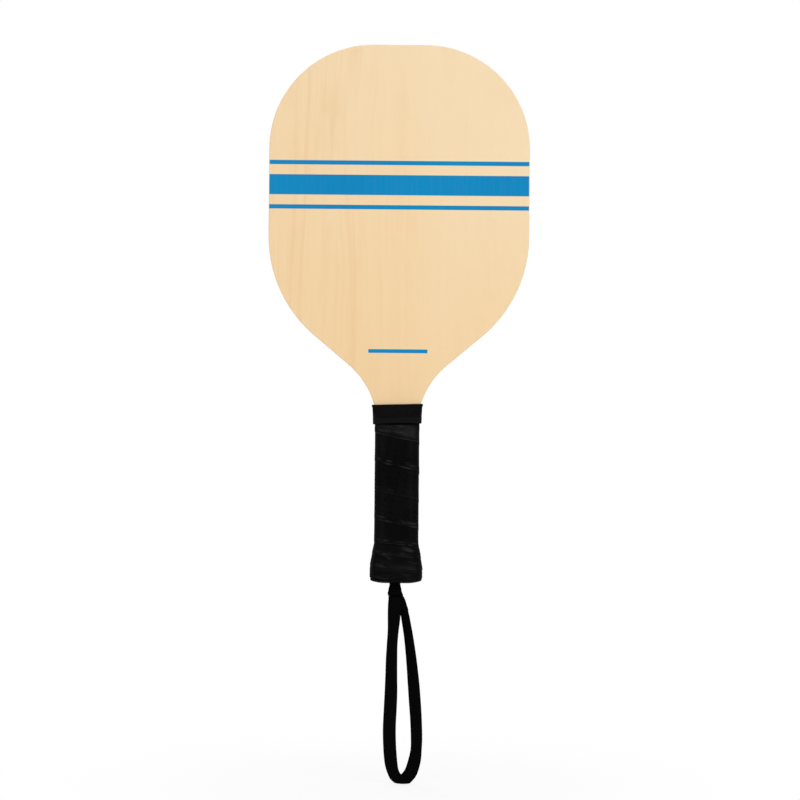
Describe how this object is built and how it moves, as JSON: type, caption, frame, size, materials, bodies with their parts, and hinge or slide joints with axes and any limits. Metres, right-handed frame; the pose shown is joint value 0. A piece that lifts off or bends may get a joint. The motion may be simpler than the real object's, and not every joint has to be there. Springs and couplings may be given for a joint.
{
  "type": "pickleball paddle",
  "caption": "Flat plywood paddle with a round-cornered blade, wound cushion grip, rubber collar, flared butt cap and folded wrist strap, for striking a ball.",
  "frame": {"origin": "on the handle's axis where the hand holds it, 60 mm above the butt end", "axes": "+Z along the handle towards the top of the blade, +X to the right across the blade, the front face looks along -Y"},
  "size_m": [0.194, 0.0334, 0.5502],
  "materials": {
    "face_wood": "satin",
    "cross_wood": "matte",
    "inner_wood": "matte",
    "handle_wood": "matte",
    "cap_plastic": "matte",
    "grip_cushion": "satin",
    "finishing_film": "satin",
    "collar_rubber": "matte",
    "webbing": "matte",
    "thread": "matte",
    "steel": "satin"
  },
  "bodies": {
    "paddle": {"front_face_veneer": "face_wood", "front_cross_ply": "cross_wood", "front_inner_ply": "inner_wood", "core_ply": "cross_wood", "back_inner_ply": "inner_wood", "back_cross_ply": "cross_wood", "back_face_veneer": "face_wood", "front_handle_scale": "handle_wood", "back_handle_scale": "handle_wood", "butt_cap": "cap_plastic", "cap_nails": "steel", "grip_tape": "grip_cushion", "finishing_tape": "finishing_film", "grip_collar": "collar_rubber", "strap_pin": "steel", "strap_tails": "webbing"},
    "strap_neck": {"strap_neck": "webbing"},
    "wrist_loop": {"strap_loop": "webbing", "strap_stitching": "thread"}
  },
  "joints": [
    {"name": "strap_swing", "type": "hinge", "parent": "paddle", "child": "strap_neck", "pos_m": [0, 0, -0.0623], "axis": [1, 0, 0], "range_deg": [-90, 90]},
    {"name": "strap_sway", "type": "hinge", "parent": "strap_neck", "child": "wrist_loop", "pos_m": [0, 0, -0.0715], "axis": [0, 1, 0], "range_deg": [-35, 35]}
  ]
}
